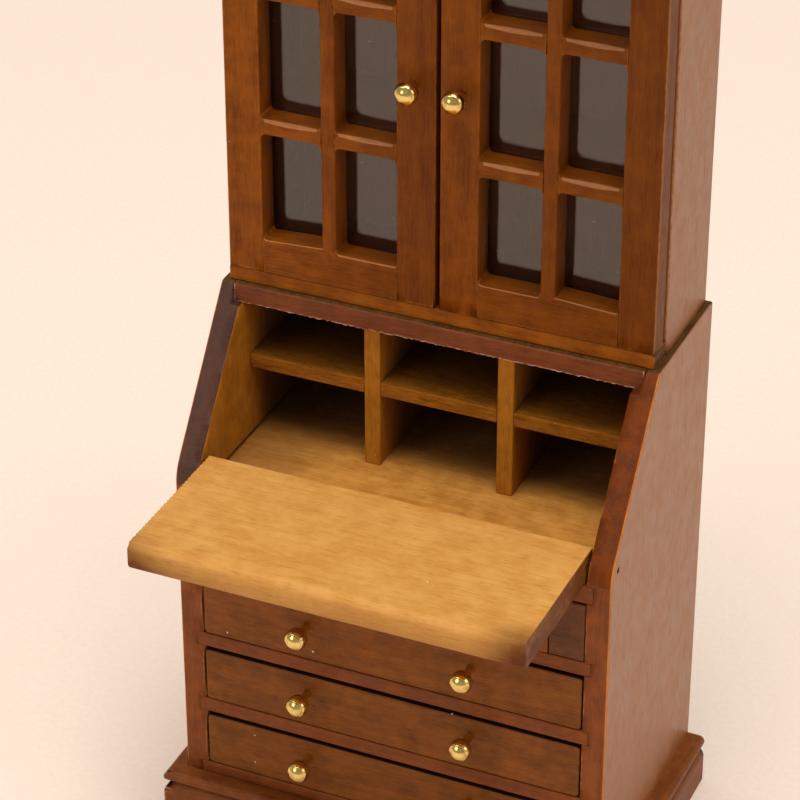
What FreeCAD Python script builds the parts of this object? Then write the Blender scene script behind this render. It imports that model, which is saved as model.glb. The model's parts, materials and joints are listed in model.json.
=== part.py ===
import FreeCAD, Part
import math
import os

# Dolls house bureau bookcase at 1:12: a desk with a hinged fall board, pigeonholes, pull-out
# supports (lopers) and drawers, under a bookcase with two glazed doors.
# Millimetres. +Z is up, the front faces -Y, and the origin is on the floor, under the middle of
# the whole piece with its fall board open.

# --- Driving dimensions: desk carcase ---
DESK_HALF_W = 40.0
DEPTH = 46.2
FALL_REACH = 26.2
FRONT = -(DEPTH - FALL_REACH) / 2
BACK = FRONT + DEPTH
SIDE_T = 4.2
BACK_T = 2.5
RAIL_T = 2.8
HOUSING = 1.1
INNER_HALF_W = DESK_HALF_W - SIDE_T

# --- Base ---
BASE_PROUD = 3.3
PLINTH_H = 7.6
PLINTH_T = 5.0
PLINTH_SHOULDER_R = 2.3
FOOT_L = 11.0
APRON_RISE = 2.6
APRON_CORNER_R = 2.3
PLINTH_BACK_T = 4.0
MOULDING_T = 2.2
MOULDING_W = 8.0
BEAD_R = 1.05

# --- Desk heights ---
CARCASE_Z = PLINTH_H + MOULDING_T
BOTTOM_TOP_Z = 12.15
ROW_PITCH = 14.25
LOPER_ROW_Z = BOTTOM_TOP_Z + 3 * ROW_PITCH
FLOOR_UNDER_Z = 66.7
FLOOR_TOP_Z = 69.5
RAIL_TOP_Z = 70.3
RAIL_DEPTH = 2.0
KNEE_Z = 73.0
DESK_TOP_Z = 101.0
SLOPE_RUN = 19.7
KNEE_R = 7.0
BROW_R = 1.2
TOP_T = 3.4
TOP_HOUSING = 1.6
TOP_FRONT = FRONT + 19.3

# --- Pigeonholes ---
PIGEON_FRONT = FRONT + 21.2
DIVIDER_T = 3.0
DIVIDER_X = 12.35
SHELF_Z = 83.6
SHELF_T = 2.7

# --- Fall board and its pins ---
FALL_HALF_W = 35.25
FALL_T = 5.2
FALL_UNDER_Z = KNEE_Z - 2.6
FALL_BACK = FRONT + 3.7
FALL_NOSE_R = 1.3
FALL_HEEL_R = 0.8
FALL_PIN_Y = FRONT + 2.9
FALL_PIN_Z = KNEE_Z - 0.2
FALL_PIN_R = 0.55
FALL_PIN_HOLE_R = 0.6
FALL_PIN_GRIP = 4.0
FALL_PIN_RECESS = 0.7

# --- Drawers and lopers ---
SLIDE_GAP = 0.3
DRAWER_LIFT = 0.1
DRAWER_TOP_GAP = 0.8
DRAWER_FRONT_T = 3.0
DRAWER_WALL = 2.0
DRAWER_BOTTOM_T = 1.5
DRAWER_LEN = 41.0
DRAWER_SIDE_DROP = 1.2
DRAWER_EDGE_R = 0.6
GUIDE_T = 2.8
GUIDE_X = 26.3
LOPER_GAP = 0.2
LOPER_LEN = 38.0
KNOB_X = 15.4
KNOB_RISE = 1.5
KNOB_BALL_R = 2.0
KNOB_STEM_R = 0.8
KNOB_STAND = 4.3
KNOB_TAIL = 2.0

# --- Bookcase ---
CASE_HALF_W = 38.8
CASE_SIDE_T = 3.0
CASE_BACK_T = 2.0
SILL_H = 2.7
DOOR_FRONT = FRONT + 20.3
DOOR_T = 5.0
DOOR_BACK_GAP = 0.3
CASE_FRONT = DOOR_FRONT + DOOR_T + DOOR_BACK_GAP
SILL_TOP_Z = DESK_TOP_Z + SILL_H
HEAD_Z = 184.7
HEAD_TOP_Z = HEAD_Z + SILL_H
CAP_T = 2.6
CAP_PROUD = 3.3
CORNICE_PROUD = 2.3
CORNICE_COVE_R = 1.9
CASE_SHELF_T = 2.2
CASE_SHELF_SETBACK = 0.9

# --- Doors ---
DOOR_GAP = 0.25
DOOR_INNER_X = 0.4
DOOR_OUTER_X = 38.7
MEETING_STILE_X = 7.3
HINGE_STILE_X = 32.15
BAR_X = 19.75
BAR_W = 2.6
PANE_BOTTOM_Z = 110.05
CROSSBAR_Z = (130.1, 154.55)
CROSSBAR_H = 2.7
PANE_TOP_Z = 178.3
GLASS_T = 0.5
GLASS_LAP = 1.2
REBATE_DEPTH = 0.6
BAR_DEPTH = DOOR_T - REBATE_DEPTH
DOOR_PIN_INSET = 1.3
DOOR_PIN_R = 0.45
DOOR_PIN_HOLE_R = 0.5
DOOR_PIN_HOLE_DEPTH = 1.6
DOOR_PIN_OUT = 1.5
DOOR_PIN_IN = 4.0
DOOR_KNOB_X = 4.1
DOOR_KNOB_Z = 144.3
DOOR_KNOB_STAND = 3.2
DOOR_EDGE_R = 0.35

EDGE_R = 0.35


def block(x0, x1, y0, y1, z0, z1):
    """A box between two corners."""
    return Part.makeBox(x1 - x0, y1 - y0, z1 - z0, FreeCAD.Vector(x0, y0, z0))


def rod(start, end, radius):
    """A cylinder from one point to another."""
    a = FreeCAD.Vector(*start)
    run = FreeCAD.Vector(*end) - a
    return Part.makeCylinder(radius, run.Length, a, run)


def prism(points, x0, x1):
    """A flat outline of (y, z) corners, drawn out from x0 to x1."""
    wire = Part.makePolygon([FreeCAD.Vector(x0, y, z) for y, z in points + points[:1]])
    return Part.Face(wire).extrude(FreeCAD.Vector(x1 - x0, 0, 0))


def slab(points, z0, z1):
    """A flat outline of (x, y) corners, drawn up from z0 to z1."""
    wire = Part.makePolygon([FreeCAD.Vector(x, y, z0) for x, y in points + points[:1]])
    return Part.Face(wire).extrude(FreeCAD.Vector(0, 0, z1 - z0))


def edges_where(shape, test):
    """The edges whose two ends both pass the test."""
    pairs = [e for e in shape.Edges if len(e.Vertexes) == 2]
    return [e for e in pairs if all(test(v.Point) for v in e.Vertexes)]


def near(value, target):
    return abs(value - target) < 0.001


def mirror_x(shape):
    return shape.mirror(FreeCAD.Vector(0, 0, 0), FreeCAD.Vector(1, 0, 0))


def save(name, *solids):
    """One sub-part's file; identical or paired pieces stay separate solids in it."""
    shape = solids[0] if len(solids) == 1 else Part.makeCompound(list(solids))
    shape.exportStep("parts/" + name + ".step")
    print(name, len(shape.Solids), "solid(s)", round(shape.Volume, 1), "mm3", shape.isValid())


# --- Desk carcase ---

def desk_side():
    """Right side panel: upright front edge, slope from the knee to the top, housings for the boards."""
    outline = [(FRONT, CARCASE_Z), (FRONT, KNEE_Z), (FRONT + SLOPE_RUN, DESK_TOP_Z)]
    outline += [(BACK, DESK_TOP_Z), (BACK, CARCASE_Z)]
    panel = prism(outline, INNER_HALF_W, DESK_HALF_W)
    knee = edges_where(panel, lambda p: near(p.y, FRONT) and near(p.z, KNEE_Z))
    panel = panel.makeFillet(KNEE_R, knee)
    brow = edges_where(panel, lambda p: near(p.y, FRONT + SLOPE_RUN) and near(p.z, DESK_TOP_Z))
    panel = panel.makeFillet(BROW_R, brow)
    outer = [e for e in panel.Edges
             if all(near(v.Point.x, DESK_HALF_W) and v.Point.y < BACK - 1 for v in e.Vertexes)]
    panel = panel.makeFillet(EDGE_R, outer)
    housed = INNER_HALF_W + HOUSING
    for under, top in board_levels():
        panel = panel.cut(block(INNER_HALF_W, housed, FRONT, BACK - BACK_T, under, top))
    top_end = INNER_HALF_W + TOP_HOUSING
    panel = panel.cut(block(INNER_HALF_W, top_end, FRONT, BACK, DESK_TOP_Z - TOP_T, DESK_TOP_Z))
    panel = panel.cut(block(INNER_HALF_W, housed, BACK - BACK_T, BACK, CARCASE_Z, DESK_TOP_Z - TOP_T))
    hole_x = (INNER_HALF_W - 1, FALL_PIN_Y, FALL_PIN_Z), (DESK_HALF_W + 1, FALL_PIN_Y, FALL_PIN_Z)
    return panel.cut(rod(*hole_x, FALL_PIN_HOLE_R))


def board_levels():
    """Underside and top height of every board that is housed in the desk's sides."""
    levels = [(CARCASE_Z, BOTTOM_TOP_Z), (FLOOR_UNDER_Z, RAIL_TOP_Z)]
    for row in (1, 2, 3):
        top = BOTTOM_TOP_Z + row * ROW_PITCH
        levels.append((top - RAIL_T, top))
    return levels


def housed_board(under, top, front=FRONT):
    """A full-depth board let into both sides, its front edges eased."""
    reach = INNER_HALF_W + HOUSING
    board = block(-reach, reach, front, BACK - BACK_T, under, top)
    lip = edges_where(board, lambda p: near(p.y, front))
    long_lip = [e for e in lip if e.Length > reach]
    return board.makeFillet(EDGE_R, long_lip)


def front_rail():
    """The rail that the open fall board rests over, let into both sides."""
    reach = INNER_HALF_W + HOUSING
    rail = block(-reach, reach, FRONT, FRONT + RAIL_DEPTH, FLOOR_UNDER_Z, RAIL_TOP_Z)
    lip = edges_where(rail, lambda p: near(p.y, FRONT))
    return rail.makeFillet(EDGE_R, [e for e in lip if e.Length > reach])


def writing_floor():
    reach = INNER_HALF_W + HOUSING
    return block(-reach, reach, FRONT + RAIL_DEPTH, BACK - BACK_T, FLOOR_UNDER_Z, FLOOR_TOP_Z)


def desk_top():
    reach = INNER_HALF_W + TOP_HOUSING
    board = block(-reach, reach, TOP_FRONT, BACK, DESK_TOP_Z - TOP_T, DESK_TOP_Z)
    lip = edges_where(board, lambda p: near(p.y, TOP_FRONT) and near(p.z, DESK_TOP_Z))
    return board.makeFillet(EDGE_R, lip)


def desk_back():
    reach = INNER_HALF_W + HOUSING
    return block(-reach, reach, BACK - BACK_T, BACK, CARCASE_Z, DESK_TOP_Z - TOP_T)


def guide():
    """Thin upright between the top drawer and the right loper."""
    return block(GUIDE_X, GUIDE_X + GUIDE_T, FRONT, BACK - BACK_T, LOPER_ROW_Z, FLOOR_UNDER_Z)


def pigeon_divider():
    half = DIVIDER_T / 2
    under_top = DESK_TOP_Z - TOP_T
    post = block(DIVIDER_X - half, DIVIDER_X + half, PIGEON_FRONT, BACK - BACK_T, FLOOR_TOP_Z, under_top)
    lip = edges_where(post, lambda p: near(p.y, PIGEON_FRONT))
    return post.makeFillet(EDGE_R, [e for e in lip if e.Length > DIVIDER_T * 2])


def pigeon_shelf(x0, x1):
    shelf = block(x0, x1, PIGEON_FRONT, BACK - BACK_T, SHELF_Z, SHELF_Z + SHELF_T)
    lip = edges_where(shelf, lambda p: near(p.y, PIGEON_FRONT))
    return shelf.makeFillet(EDGE_R, [e for e in lip if e.Length > SHELF_T * 2])


# --- Base ---

def outer_runs(shape, z, back):
    """The front, left and right edges of a board at height z, not the back one."""
    flat = edges_where(shape, lambda p: near(p.z, z))
    return [e for e in flat if not all(near(v.Point.y, back) for v in e.Vertexes)]


def base_outline_board(z0, z1):
    reach = DESK_HALF_W + BASE_PROUD
    return block(-reach, reach, FRONT - BASE_PROUD, BACK, z0, z1)


def mitre_pieces(board, width, z0, z1):
    """Cut a three-sided frame of the given width out of a board, mitred at its front corners."""
    reach = DESK_HALF_W + BASE_PROUD
    front = FRONT - BASE_PROUD
    hollow = block(-reach + width, reach - width, front + width, BACK + 1, z0 - 1, z1 + 1)
    ring = board.cut(hollow)
    wedge = slab([(-reach, front), (reach, front), (0, front + reach)], z0 - 1, z1 + 1)
    face = ring.common(wedge)
    left = ring.cut(wedge).common(block(-reach - 1, 0, front - 1, BACK + 1, z0 - 1, z1 + 1))
    return face, left, mirror_x(left)


def base_moulding():
    """Beaded base moulding that the carcase stands on: front, left and right strips."""
    top = PLINTH_H + MOULDING_T
    board = base_outline_board(PLINTH_H, top)
    board = board.makeFillet(BEAD_R, outer_runs(board, PLINTH_H, BACK) + outer_runs(board, top, BACK))
    return mitre_pieces(board, MOULDING_W, PLINTH_H, top)


def plinth():
    """Plinth boards with a rounded shoulder, cut away below to leave bracket feet."""
    board = base_outline_board(0, PLINTH_H)
    board = board.makeFillet(PLINTH_SHOULDER_R, outer_runs(board, PLINTH_H, BACK))
    face, left, right = mitre_pieces(board, PLINTH_T, 0, PLINTH_H)
    foot_x = DESK_HALF_W + BASE_PROUD - FOOT_L
    front_cut = arch(2 * foot_x)
    side_cut = arch(DEPTH + BASE_PROUD - 2 * FOOT_L)
    side_cut.rotate(FreeCAD.Vector(0, 0, 0), FreeCAD.Vector(0, 0, 1), 90)
    side_cut.translate(FreeCAD.Vector(0, (FRONT - BASE_PROUD + BACK) / 2, 0))
    return face.cut(front_cut), left.cut(side_cut), right.cut(side_cut)


def arch(length):
    """A low opening of this length, run out past the plinth both ways, its upper corners rounded."""
    span = DESK_HALF_W * 2
    cut = block(-length / 2, length / 2, -span, span, -1, APRON_RISE)
    top = edges_where(cut, lambda p: near(p.z, APRON_RISE))
    return cut.makeFillet(APRON_CORNER_R, [e for e in top if e.Length > span])


def plinth_back():
    """Back board of the base, its middle raised between the side mouldings to meet the desk."""
    reach = DESK_HALF_W + BASE_PROUD - PLINTH_T
    between = DESK_HALF_W + BASE_PROUD - MOULDING_W
    low = block(-reach, reach, BACK - PLINTH_BACK_T, BACK, 0, PLINTH_H)
    high = block(-between, between, BACK - PLINTH_BACK_T, BACK, PLINTH_H - 1, CARCASE_Z)
    return low.fuse(high).removeSplitter()


# --- Fall board ---

def fall_board():
    """The writing surface, open and level: rounded nose, eased heel, holes for its two pins."""
    top = FALL_UNDER_Z + FALL_T
    nose = FRONT - FALL_REACH
    board = block(-FALL_HALF_W, FALL_HALF_W, nose, FALL_BACK, FALL_UNDER_Z, top)
    board = board.makeFillet(FALL_NOSE_R, long_x_edges(board, nose))
    heel = [e for e in long_x_edges(board, FALL_BACK) if near(e.Vertexes[0].Point.z, FALL_UNDER_Z)]
    board = board.makeFillet(FALL_HEEL_R, heel)
    for pin in fall_pins():
        board = board.cut(pin)
    return board


def long_x_edges(shape, y):
    """Edges that run along X at this y."""
    flat = edges_where(shape, lambda p: near(p.y, y))
    return [e for e in flat if not near(e.Vertexes[0].Point.x, e.Vertexes[1].Point.x)]


def fall_pins():
    inner = FALL_HALF_W - FALL_PIN_GRIP
    outer = DESK_HALF_W - FALL_PIN_RECESS
    pin = rod((inner, FALL_PIN_Y, FALL_PIN_Z), (outer, FALL_PIN_Y, FALL_PIN_Z), FALL_PIN_R)
    return pin, mirror_x(pin)


# --- Drawers, lopers and knobs ---

def knob(x, face_y, z, stand=KNOB_STAND):
    """Turned ball on a plain stem, whose tail is driven into the wood behind face_y."""
    stem = rod((x, face_y + KNOB_TAIL, z), (x, face_y - stand, z), KNOB_STEM_R)
    ball = Part.makeSphere(KNOB_BALL_R, FreeCAD.Vector(x, face_y - stand, z))
    return stem.fuse(ball).removeSplitter()


def drawer(half_w, under, top):
    """A drawer in its opening: front, then sides, back and bottom, then two knobs."""
    z0 = under + DRAWER_LIFT
    z1 = top - DRAWER_TOP_GAP
    out = half_w - SLIDE_GAP
    knob_z = (under + top) / 2 + KNOB_RISE
    front = block(-out, out, FRONT, FRONT + DRAWER_FRONT_T, z0, z1)
    front = front.makeFillet(DRAWER_EDGE_R, edges_where(front, lambda p: near(p.y, FRONT)))
    knobs = [knob(side * KNOB_X, FRONT, knob_z) for side in (-1, 1)]
    for k in knobs:
        front = front.cut(k)
    wall_y = FRONT + DRAWER_FRONT_T
    end = FRONT + DRAWER_LEN
    wall_top = z1 - DRAWER_SIDE_DROP
    left = block(-out, -out + DRAWER_WALL, wall_y, end, z0, wall_top)
    inner = out - DRAWER_WALL
    back = block(-inner, inner, end - DRAWER_WALL, end, z0, wall_top)
    base = block(-inner, inner, wall_y, end - DRAWER_WALL, z0, z0 + DRAWER_BOTTOM_T)
    return front, [left, mirror_x(left), back, base], knobs


def loper():
    """Right pull-out support, a plain square bar."""
    x0 = GUIDE_X + GUIDE_T + LOPER_GAP
    x1 = INNER_HALF_W - LOPER_GAP
    z1 = FLOOR_UNDER_Z - LOPER_GAP * 2
    bar = block(x0, x1, FRONT, FRONT + LOPER_LEN, LOPER_ROW_Z + DRAWER_LIFT, z1)
    return bar.makeFillet(EDGE_R, edges_where(bar, lambda p: near(p.y, FRONT)))


# --- Bookcase ---

def door_pin_axis():
    return DOOR_OUTER_X - DOOR_PIN_INSET, DOOR_FRONT + DOOR_T - DOOR_PIN_INSET


def pivot_strip(z0, z1):
    """Strip in front of the carcase that the doors turn on: the sill below, the head above."""
    strip = block(-DOOR_OUTER_X, DOOR_OUTER_X, DOOR_FRONT + DOOR_GAP / 2, CASE_FRONT, z0, z1)
    lip = edges_where(strip, lambda p: near(p.y, DOOR_FRONT + DOOR_GAP / 2))
    strip = strip.makeFillet(EDGE_R, [e for e in lip if e.Length > DOOR_OUTER_X])
    x, y = door_pin_axis()
    face, depth = (z1, -DOOR_PIN_HOLE_DEPTH) if z0 < HEAD_Z else (z0, DOOR_PIN_HOLE_DEPTH)
    for side in (-1, 1):
        strip = strip.cut(rod((side * x, y, face), (side * x, y, face + depth), DOOR_PIN_HOLE_R))
    return strip


def case_board(z0, z1, y0=CASE_FRONT, y1=BACK - CASE_BACK_T):
    inner = CASE_HALF_W - CASE_SIDE_T
    return block(-inner, inner, y0, y1, z0, z1)


def case_shelves():
    """Two shelves, level with the glazing bars of the doors."""
    shelves = []
    for z in CROSSBAR_Z:
        under = z + (CROSSBAR_H - CASE_SHELF_T) / 2
        shelves.append(case_board(under, under + CASE_SHELF_T, y0=CASE_FRONT + CASE_SHELF_SETBACK))
    return shelves


def case_side():
    panel = block(CASE_HALF_W - CASE_SIDE_T, CASE_HALF_W, CASE_FRONT, BACK, DESK_TOP_Z, HEAD_TOP_Z)
    tall = edges_where(panel, lambda p: near(p.x, CASE_HALF_W))
    return panel.makeFillet(EDGE_R, [e for e in tall if e.Length > DEPTH])


def cornice_cap():
    reach = CASE_HALF_W + CAP_PROUD
    top = HEAD_TOP_Z + CAP_T
    cap = block(-reach, reach, DOOR_FRONT - CAP_PROUD, BACK, HEAD_TOP_Z, top)
    return cap.makeFillet(BEAD_R, outer_runs(cap, HEAD_TOP_Z, BACK) + outer_runs(cap, top, BACK))


def cornice_mouldings():
    """Cove moulding under the cap: front, left and right strips, mitred."""
    reach = CASE_HALF_W + CORNICE_PROUD
    front = DOOR_FRONT - CORNICE_PROUD
    ring = block(-reach, reach, front, BACK, HEAD_Z, HEAD_TOP_Z)
    face_y = DOOR_FRONT + DOOR_GAP / 2
    ring = ring.cut(block(-CASE_HALF_W, CASE_HALF_W, face_y, BACK + 1, HEAD_Z - 1, HEAD_TOP_Z + 1))
    ring = ring.cut(rod((-reach - 1, front, HEAD_Z), (reach + 1, front, HEAD_Z), CORNICE_COVE_R))
    for side in (-1, 1):
        cove = rod((side * reach, front - 1, HEAD_Z), (side * reach, BACK + 1, HEAD_Z), CORNICE_COVE_R)
        ring = ring.cut(cove)
    z0 = HEAD_Z - 1
    z1 = HEAD_TOP_Z + 1
    wedge = slab([(-reach, front), (reach, front), (0, front + reach)], z0, z1)
    face = ring.common(wedge)
    left = ring.cut(wedge).common(block(-reach - 1, 0, front - 1, BACK + 1, z0, z1))
    return face, left, mirror_x(left)


# --- Doors ---

def door_pieces():
    """Right door: hinge stile, meeting stile, rails, glazing bars, glass sheet, pins and knob."""
    z0 = SILL_TOP_Z + DOOR_GAP
    z1 = HEAD_Z - DOOR_GAP
    y0 = DOOR_FRONT
    y1 = DOOR_FRONT + DOOR_T
    hinge_stile = block(HINGE_STILE_X, DOOR_OUTER_X, y0, y1, z0, z1)
    meeting_stile = block(DOOR_INNER_X, MEETING_STILE_X, y0, y1, z0, z1)
    rails = [block(MEETING_STILE_X, HINGE_STILE_X, y0, y1, z0, PANE_BOTTOM_Z),
             block(MEETING_STILE_X, HINGE_STILE_X, y0, y1, PANE_TOP_Z, z1)]
    half = BAR_W / 2
    upright = block(BAR_X - half, BAR_X + half, y0, y0 + BAR_DEPTH, PANE_BOTTOM_Z, PANE_TOP_Z)
    crossbars = []
    for z in CROSSBAR_Z:
        for x0, x1 in ((MEETING_STILE_X, BAR_X - half), (BAR_X + half, HINGE_STILE_X)):
            bar = block(x0, x1, y0, y0 + BAR_DEPTH, z, z + CROSSBAR_H)
            crossbars.append(bar.makeFillet(DOOR_EDGE_R, long_x_edges(bar, y0)))
    x_axis, y_axis = door_pin_axis()
    heel = edges_where(hinge_stile, lambda p: near(p.x, DOOR_OUTER_X) and near(p.y, y1))
    hinge_stile = hinge_stile.makeFillet(DOOR_PIN_INSET, heel)
    brow = edges_where(hinge_stile, lambda p: near(p.x, DOOR_OUTER_X) and near(p.y, y0))
    hinge_stile = hinge_stile.makeFillet(DOOR_EDGE_R, brow)
    edge = edges_where(meeting_stile, lambda p: near(p.x, DOOR_INNER_X) and near(p.y, y0))
    meeting_stile = meeting_stile.makeFillet(DOOR_EDGE_R, edge)
    pins = [rod((x_axis, y_axis, z0 - DOOR_PIN_OUT), (x_axis, y_axis, z0 + DOOR_PIN_IN), DOOR_PIN_R),
            rod((x_axis, y_axis, z1 - DOOR_PIN_IN), (x_axis, y_axis, z1 + DOOR_PIN_OUT), DOOR_PIN_R)]
    for pin in pins:
        hinge_stile = hinge_stile.cut(pin)
    pull = knob(DOOR_KNOB_X, y0, DOOR_KNOB_Z, DOOR_KNOB_STAND)
    meeting_stile = meeting_stile.cut(pull)
    rebate = block(MEETING_STILE_X - GLASS_LAP, HINGE_STILE_X + GLASS_LAP, y1 - REBATE_DEPTH, y1 + 1,
                   PANE_BOTTOM_Z - GLASS_LAP, PANE_TOP_Z + GLASS_LAP)
    frame = [piece.cut(rebate) for piece in (hinge_stile, meeting_stile, rails[0], rails[1])]
    glass_y = y1 - REBATE_DEPTH
    glass = block(MEETING_STILE_X - GLASS_LAP, HINGE_STILE_X + GLASS_LAP, glass_y, glass_y + GLASS_T,
                  PANE_BOTTOM_Z - GLASS_LAP, PANE_TOP_Z + GLASS_LAP)
    return {"hinge_stile": [frame[0]], "meeting_stile": [frame[1]], "rails": frame[2:],
            "glazing_bars": [upright] + crossbars, "glass": [glass], "pivot_pins": pins, "knob": [pull]}


def main():
    os.makedirs("parts", exist_ok=True)
    side = desk_side()
    save("desk_side_right", side)
    save("desk_side_left", mirror_x(side))
    save("desk_back", desk_back())
    save("desk_top", desk_top())
    save("desk_bottom", housed_board(CARCASE_Z, BOTTOM_TOP_Z))
    for row, name in enumerate(("lower", "middle", "upper"), start=1):
        top = BOTTOM_TOP_Z + row * ROW_PITCH
        save("drawer_board_" + name, housed_board(top - RAIL_T, top))
    save("front_rail", front_rail())
    save("writing_floor", writing_floor())
    save("loper_guide_right", guide())
    save("loper_guide_left", mirror_x(guide()))
    save("pigeonhole_divider_right", pigeon_divider())
    save("pigeonhole_divider_left", mirror_x(pigeon_divider()))
    face = DIVIDER_X + DIVIDER_T / 2
    bay = pigeon_shelf(face, INNER_HALF_W)
    centre = pigeon_shelf(-DIVIDER_X + DIVIDER_T / 2, DIVIDER_X - DIVIDER_T / 2)
    save("pigeonhole_shelves", mirror_x(bay), centre, bay)

    save("base_moulding", *base_moulding())
    plinth_front, plinth_left, plinth_right = plinth()
    save("plinth_front", plinth_front)
    save("plinth_left", plinth_left)
    save("plinth_right", plinth_right)
    save("plinth_back", plinth_back())

    save("fall_board", fall_board())
    save("fall_hinge_pins", *fall_pins())

    rows = [("drawer_lower", INNER_HALF_W, BOTTOM_TOP_Z, BOTTOM_TOP_Z + ROW_PITCH - RAIL_T)]
    rows.append(("drawer_middle", INNER_HALF_W, rows[0][2] + ROW_PITCH, rows[0][3] + ROW_PITCH))
    rows.append(("drawer_upper", INNER_HALF_W, rows[1][2] + ROW_PITCH, rows[1][3] + ROW_PITCH))
    rows.append(("drawer_small", GUIDE_X, LOPER_ROW_Z, FLOOR_UNDER_Z))
    for name, half_w, under, top in rows:
        front, box, knobs = drawer(half_w, under, top)
        save(name + "_front", front)
        save(name + "_box", *box)
        save(name + "_knobs", *knobs)
    save("loper_right", loper())
    save("loper_left", mirror_x(loper()))

    save("bookcase_sill", pivot_strip(DESK_TOP_Z, SILL_TOP_Z))
    save("bookcase_head", pivot_strip(HEAD_Z, HEAD_TOP_Z))
    save("bookcase_side_right", case_side())
    save("bookcase_side_left", mirror_x(case_side()))
    save("bookcase_bottom", case_board(DESK_TOP_Z, SILL_TOP_Z, y1=BACK))
    save("bookcase_top", case_board(HEAD_Z, HEAD_TOP_Z, y1=BACK))
    save("bookcase_back", case_board(SILL_TOP_Z, HEAD_Z, y0=BACK - CASE_BACK_T, y1=BACK))
    save("bookcase_shelves", *case_shelves())
    save("cornice_cap", cornice_cap())
    save("cornice_mouldings", *cornice_mouldings())

    for piece, solids in door_pieces().items():
        save("door_right_" + piece, *solids)
        save("door_left_" + piece, *[mirror_x(s) for s in solids])

    swing = math.degrees(math.atan2(DESK_TOP_Z - KNEE_Z, SLOPE_RUN))
    print("slope from the level", round(swing, 2), "degrees, so flush shut is", round(180 - swing, 2))


main()
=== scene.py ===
# %% [markdown]
# # A dolls house bureau bookcase
# A bureau bookcase is a writing desk with a glazed bookcase on top of it. This one is a toy at one
# twelfth of full size, cut from thin hardwood boards, stained brown and lacquered. Its fall front
# is open, so the desk's golden inside shows.
# The frame holds every board at its true size. This lesson gives the boards eased and slightly
# uneven edges, moulds the doors' glazing bars, turns the brass knobs, and finishes each surface.

# %% Open the frame
import json
import math
import random

import bmesh
import bpy
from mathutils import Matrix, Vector


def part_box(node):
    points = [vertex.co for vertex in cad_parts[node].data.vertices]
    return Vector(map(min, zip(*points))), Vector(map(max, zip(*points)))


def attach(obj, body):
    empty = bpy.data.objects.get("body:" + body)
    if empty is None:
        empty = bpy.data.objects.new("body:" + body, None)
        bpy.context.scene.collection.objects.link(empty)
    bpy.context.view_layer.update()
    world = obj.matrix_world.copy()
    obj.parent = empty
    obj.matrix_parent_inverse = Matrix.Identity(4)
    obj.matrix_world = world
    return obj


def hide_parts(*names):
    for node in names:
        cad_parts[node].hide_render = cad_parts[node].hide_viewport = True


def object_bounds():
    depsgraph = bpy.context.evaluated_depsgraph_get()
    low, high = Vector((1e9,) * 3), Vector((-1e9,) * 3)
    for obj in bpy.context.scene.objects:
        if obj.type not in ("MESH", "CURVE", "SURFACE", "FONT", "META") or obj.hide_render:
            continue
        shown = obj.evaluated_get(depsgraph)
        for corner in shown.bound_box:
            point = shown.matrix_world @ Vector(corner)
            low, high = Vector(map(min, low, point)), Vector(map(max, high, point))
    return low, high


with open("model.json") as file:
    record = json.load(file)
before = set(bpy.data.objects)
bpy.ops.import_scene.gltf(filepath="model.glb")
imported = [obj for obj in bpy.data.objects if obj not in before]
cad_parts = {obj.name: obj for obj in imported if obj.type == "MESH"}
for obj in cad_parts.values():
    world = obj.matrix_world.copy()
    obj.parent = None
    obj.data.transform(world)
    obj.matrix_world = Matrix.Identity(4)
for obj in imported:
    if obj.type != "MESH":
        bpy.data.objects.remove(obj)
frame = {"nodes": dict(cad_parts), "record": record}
frame_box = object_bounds()
MM = 0.001
bodies = frame["record"]["behaviour"]["bodies"]
body_of = {node: body for body, nodes in bodies.items() for node in nodes}

# %% [markdown]
# ## The camera
# A small thing is best shown from near by through a long lens, so its upright edges stay almost
# parallel. The camera stands to the right of the front and looks down at 30 degrees. The shift
# slides the picture over the subject without tilting the camera.

# %% Camera
def put(name, data):
    """Add an object that carries this data to the scene."""
    thing = bpy.data.objects.new(name, data)
    bpy.context.scene.collection.objects.link(thing)
    return thing


camera_data = bpy.data.cameras.new("table_camera")
camera = put("table_camera", camera_data)
camera.location = (0.1762, -0.4036, 0.3573)
camera.rotation_euler = (math.radians(60.03), 0, math.radians(23.78))
camera_data.sensor_width = 36
camera_data.lens = 138.7
camera_data.shift_x = -0.0034
camera_data.shift_y = -0.0755
bpy.context.scene.camera = camera
bpy.context.scene.view_settings.view_transform = "Standard"
print("camera is", round(camera.location.length / MM), "mm from the origin")

# %% [markdown]
# ## Selecting in code
# A script has no mouse, so it picks vertices and edges by where they are. These helpers open
# a piece in edit mode with exactly those parts selected, and every operator after that acts on
# nothing else.


# %% Picking helpers
def only(piece):
    """Make one piece the selected and active object, in object mode."""
    if bpy.context.mode != "OBJECT":
        bpy.ops.object.mode_set(mode="OBJECT")
    bpy.ops.object.select_all(action="DESELECT")
    piece.select_set(True)
    bpy.context.view_layer.objects.active = piece


def edit(piece, kind="VERT"):
    """Open a piece in edit mode with nothing selected."""
    only(piece)
    bpy.ops.object.mode_set(mode="EDIT")
    bpy.ops.mesh.select_mode(type=kind)
    bpy.ops.mesh.select_all(action="DESELECT")
    return bmesh.from_edit_mesh(piece.data)


def pick_points(piece, test):
    """Select the vertices whose place passes the test."""
    mesh = edit(piece, "VERT")
    for vert in mesh.verts:
        vert.select_set(bool(test(vert.co)))
    mesh.select_flush(True)
    bmesh.update_edit_mesh(piece.data)


def pick_edges(piece, test, along=None):
    """Select the edges whose two ends both pass the test, only those along one axis if it is given."""
    mesh = edit(piece, "EDGE")
    for edge in mesh.edges:
        start, end = (vert.co for vert in edge.verts)
        run = end - start
        straight = along is None or abs(run[along]) > 0.99 * run.length
        edge.select_set(bool(straight and test(start) and test(end)))
    bmesh.update_edit_mesh(piece.data)


def near(value, target, slack=0.02 * MM):
    """Whether two numbers agree, to a fiftieth of a millimetre unless told otherwise."""
    return abs(value - target) < slack


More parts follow.
